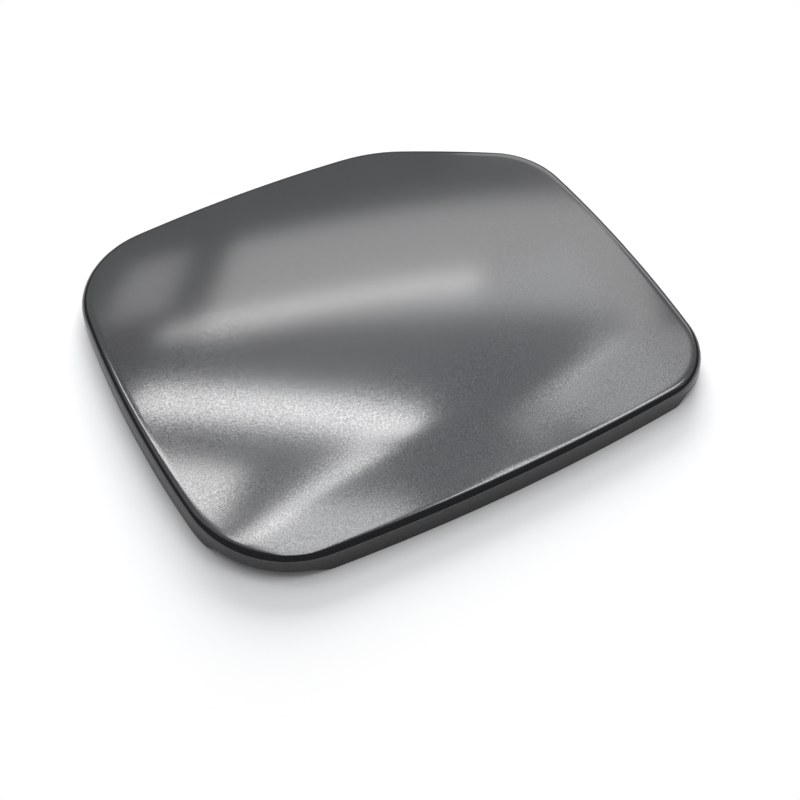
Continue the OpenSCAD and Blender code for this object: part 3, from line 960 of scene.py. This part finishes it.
def floor_material():
    material, nodes, place = new_material("floor_white")
    over = vector_maths(nodes, "ABSOLUTE", place, (0, 0, 0))
    over = vector_maths(nodes, "SUBTRACT", over, CORE_HALF)
    over = vector_maths(nodes, "MAXIMUM", over, (0, 0, 0))
    away = vector_maths(nodes, "LENGTH", over, (0, 0, 0), "Value")
    fade = soft_range(nodes, away, FADE_SPAN)
    near = nodes.node("ShaderNodeAddShader", inputs={
        0: grey_diffuse(nodes, PALE_GREY), 1: white_glow(nodes, GLOW)})
    shown = nodes.node("ShaderNodeMixShader", inputs={
        "Fac": fade, 1: near, 2: white_glow(nodes, 1.0)})
    mixed = for_camera(nodes, grey_diffuse(nodes, MATT_GREY), shown)
    return end_material(material, nodes, mixed)


# %% Lay the floor
select_none()
bpy.ops.mesh.primitive_plane_add(size=6, location=(0, 0, 0))
floor = bpy.context.object
floor.name = "floor"
floor.data.materials.append(floor_material())

# %% [markdown]
# ## Soft studio light
# Large softboxes hang over and behind the door, and the black paint mirrors
# them as wide grey bands. A dim even room fills the rest. Each softbox hangs
# a centimetre above the one before, because where two area lamps overlap at
# one height a mirrored ray finds only one of them. Two more stand low: one at
# the side lights the rolled edge, and one behind throws the shadow forward.
# The one behind is hidden from mirrored rays, so that it leaves no line on
# the far rim.

# %% An area lamp and a softbox
# The way the camera looks over the floor, the way to its right, lamps' height
REACH = np.array([0.461, 0.887])
ACROSS = np.array([0.887, -0.461])
CEILING = 1.2


def area_lamp(name, width, depth, level, colour=(1, 1, 1)):
    """An area lamp; level is the brightness of its face, white is 1."""
    lamp = bpy.data.lights.new(name, "AREA")
    lamp.shape, lamp.color = "RECTANGLE", colour
    lamp.size, lamp.size_y = width, depth
    lamp.energy = level * 4 * width * depth
    holder = bpy.data.objects.new(name, lamp)
    bpy.context.scene.collection.objects.link(holder)
    return holder


def softbox(name, out, side, depth, width, turn, level, height, colour):
    """A flat softbox, sized and placed as seen at ceiling height."""
    scale = height / CEILING
    holder = area_lamp(name, width * scale, depth * scale, level, colour)
    x, y = (out * REACH + side * ACROSS) * scale
    holder.location = (x, y, height)
    holder.rotation_euler = (0, 0, math.atan2(ACROSS[1], ACROSS[0]) + turn)
    print(name, "at", [round(v, 2) for v in holder.location])


# %% Twelve softboxes
# Out, side, depth and width in metres, turn in radians, level
LAMPS = [
    (1.086, 0.074, 0.357, 0.903, 0.04, 1.83),
    (0.713, 0.329, 0.362, 0.058, -0.51, 1.4),
    (0.579, -0.581, 0.702, 0.129, 1.30, 5.7),
    (0.739, 0.461, 0.366, 0.193, -0.53, 1.58),
    (0.685, -0.194, 0.076, 0.506, -0.22, 7.6),
    (0.433, -0.127, 0.095, 0.372, 0.89, 4.7),
    (0.670, 0.130, 0.587, 0.757, 0.43, 0.37),
    (-0.006, -0.030, 0.826, 0.222, 0.03, 3.2),
    (0.967, -0.141, 0.043, 0.607, 0.11, 4.4),
    (1.132, -0.521, 0.235, 0.122, 0.07, 1.27),
    (0.25, 0.55, 0.44, 0.70, 0.0, 3.6),
    (1.2, 0.0, 2.8, 3.6, 0.0, 0.48),
]
STAGGER = 0.01
# Two of them, by their place in the list, are a little cool
COOL = {6: (0.90, 0.99, 1.06), 11: (0.97, 1.0, 1.02)}
for i, lamp in enumerate(LAMPS):
    tint = COOL.get(i, (1, 1, 1))
    softbox("softbox_%d" % (i + 1), *lamp, CEILING + STAGGER * i, tint)


# %% Two low softboxes
def low_softbox(name, width, depth, level, place):
    holder = area_lamp(name, width, depth, level)
    holder.location = place
    aim(holder, (0, 0, 0.01))
    print(name, "at", place)
    return holder


low_softbox("side_softbox", 0.8, 0.5, 1.3, (0.86, 0.62, 0.55))
behind = low_softbox("low_softbox", 1.4, 0.8, 11.0, (0.55, 1.32, 0.60))
behind.visible_glossy = False

# %% A dim room behind a white backdrop
ROOM, BACKDROP = (0.137, 0.14, 0.144, 1), (1, 1, 1, 1)
world = bpy.data.worlds.new("room")
world.use_nodes = True
world.node_tree.nodes.clear()
nodes = Signal(world.node_tree)
dim, white = (
    nodes.node("ShaderNodeBackground", inputs={"Color": colour, "Strength": 1.0})
    for colour in (ROOM, BACKDROP)
)
nodes.node("ShaderNodeOutputWorld", inputs={"Surface": for_camera(nodes, dim, white)})
bpy.context.scene.world = world
bpy.context.scene.view_settings.view_transform = "Standard"
